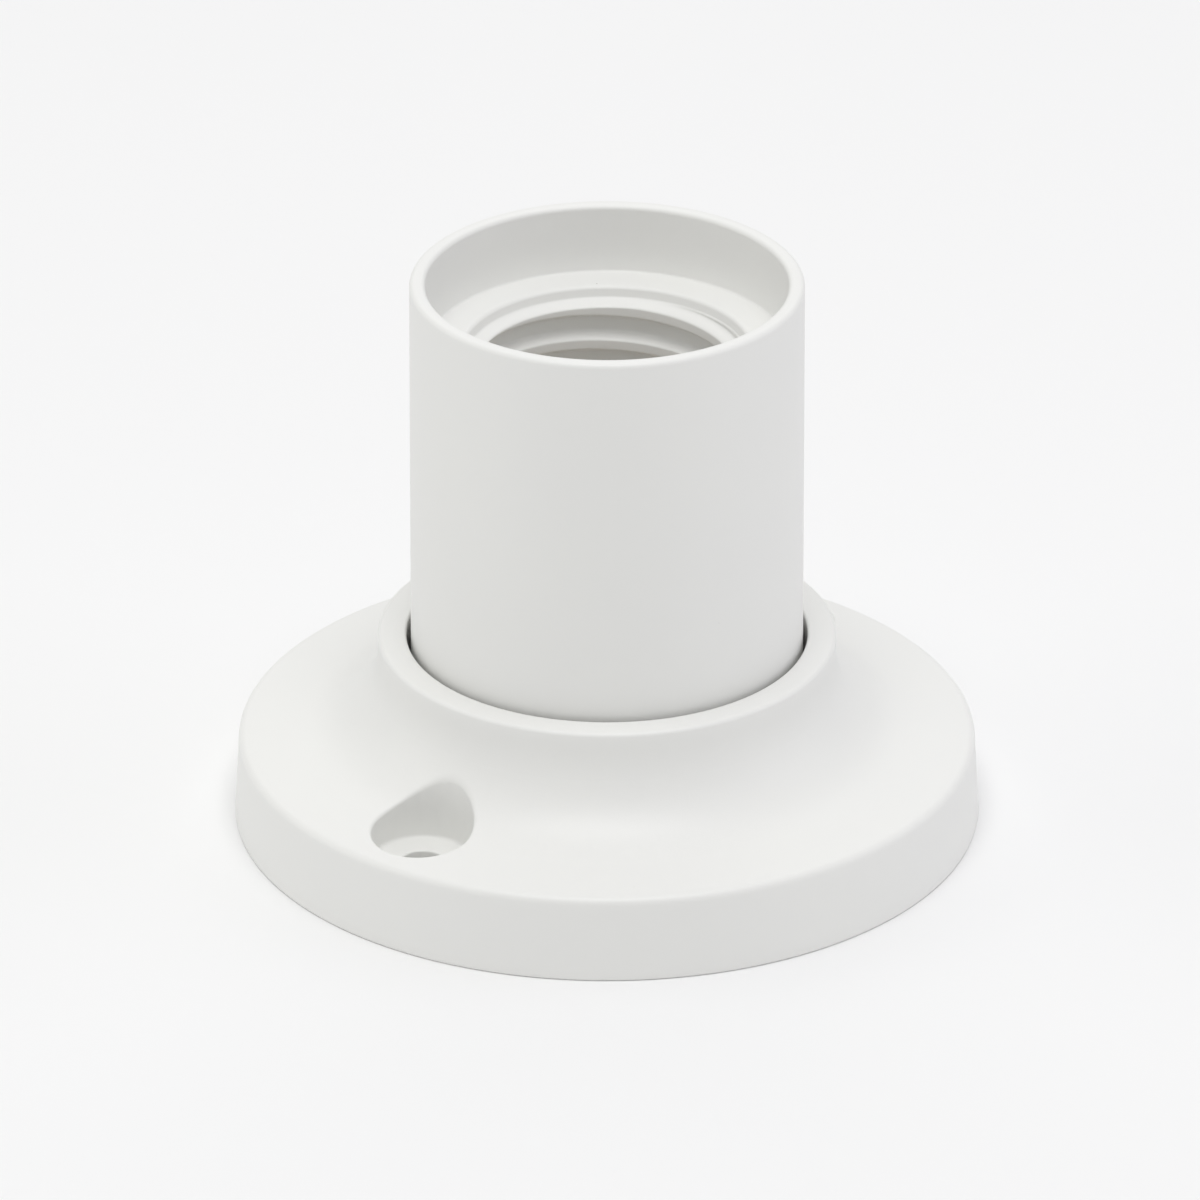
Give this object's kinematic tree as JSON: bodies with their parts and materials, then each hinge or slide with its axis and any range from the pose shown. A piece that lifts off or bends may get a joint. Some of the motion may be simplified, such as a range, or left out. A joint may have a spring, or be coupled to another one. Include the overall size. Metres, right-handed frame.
{
  "type": "surface-mounting lamp holder",
  "caption": "Straight surface-mounting lamp holder: a flared round base that screws down, and a plain tubular skirt with the 27 mm lamp thread inside.",
  "frame": {"origin": "middle of the mounting face, where the base's rim rests on the wall or ceiling", "axes": "+Z along the lamp's axis, out of the mouth; the two fixing holes lie on X; the two sleeve screws lie on Y"},
  "size_m": [0.0728, 0.0728, 0.0564],
  "materials": {
    "white_thermoplastic": "injection moulded, fine satin",
    "heat_resistant_insert": "moulded glass-filled thermoset, matt",
    "phosphor_bronze": "rolled spring strip",
    "brass": "stamped or turned",
    "zinc_plated_steel": "bright zinc plating"
  },
  "bodies": {
    "holder": {"base": "white_thermoplastic", "sleeve": "white_thermoplastic", "contact_carrier": "heat_resistant_insert", "centre_contact_leaf": "phosphor_bronze", "side_contact": "brass", "live_rivet": "brass", "neutral_rivet": "brass", "live_terminal_plate": "brass", "neutral_terminal_plate": "brass", "sleeve_fixing_screws": "zinc_plated_steel"},
    "centre_contact": {"centre_contact_stud": "brass"},
    "live_clamp": {"live_clamp_washer": "zinc_plated_steel"},
    "live_screw": {"live_terminal_screw": "zinc_plated_steel"},
    "neutral_clamp": {"neutral_clamp_washer": "zinc_plated_steel"},
    "neutral_screw": {"neutral_terminal_screw": "zinc_plated_steel"}
  },
  "joints": [
    {"name": "centre_contact_press", "type": "slide", "parent": "holder", "child": "centre_contact", "axis": [0, 0, 1], "range_m": [-0.0015, 0], "stiffness_N_per_m": 2500, "deforming": ["centre_contact_leaf"]},
    {"name": "live_clamp_slide", "type": "slide", "parent": "holder", "child": "live_clamp", "axis": [0, 0, -1], "range_m": [0, 0.0018]},
    {"name": "live_screw_turn", "type": "hinge", "parent": "live_clamp", "child": "live_screw", "pos_m": [0.00587, 0.00587, 0.0163], "axis": [0, 0, -1], "range_deg": [0, 1081]},
    {"name": "neutral_clamp_slide", "type": "slide", "parent": "holder", "child": "neutral_clamp", "axis": [0, 0, -1], "range_m": [0, 0.0018]},
    {"name": "neutral_screw_turn", "type": "hinge", "parent": "neutral_clamp", "child": "neutral_screw", "pos_m": [-0.00587, -0.00587, 0.0163], "axis": [0, 0, -1], "range_deg": [0, 1081]}
  ],
  "couplings": [
    {"joint": "live_screw_turn", "follows": "live_clamp_slide", "rad_per_m": 10472},
    {"joint": "neutral_screw_turn", "follows": "neutral_clamp_slide", "rad_per_m": 10472}
  ]
}
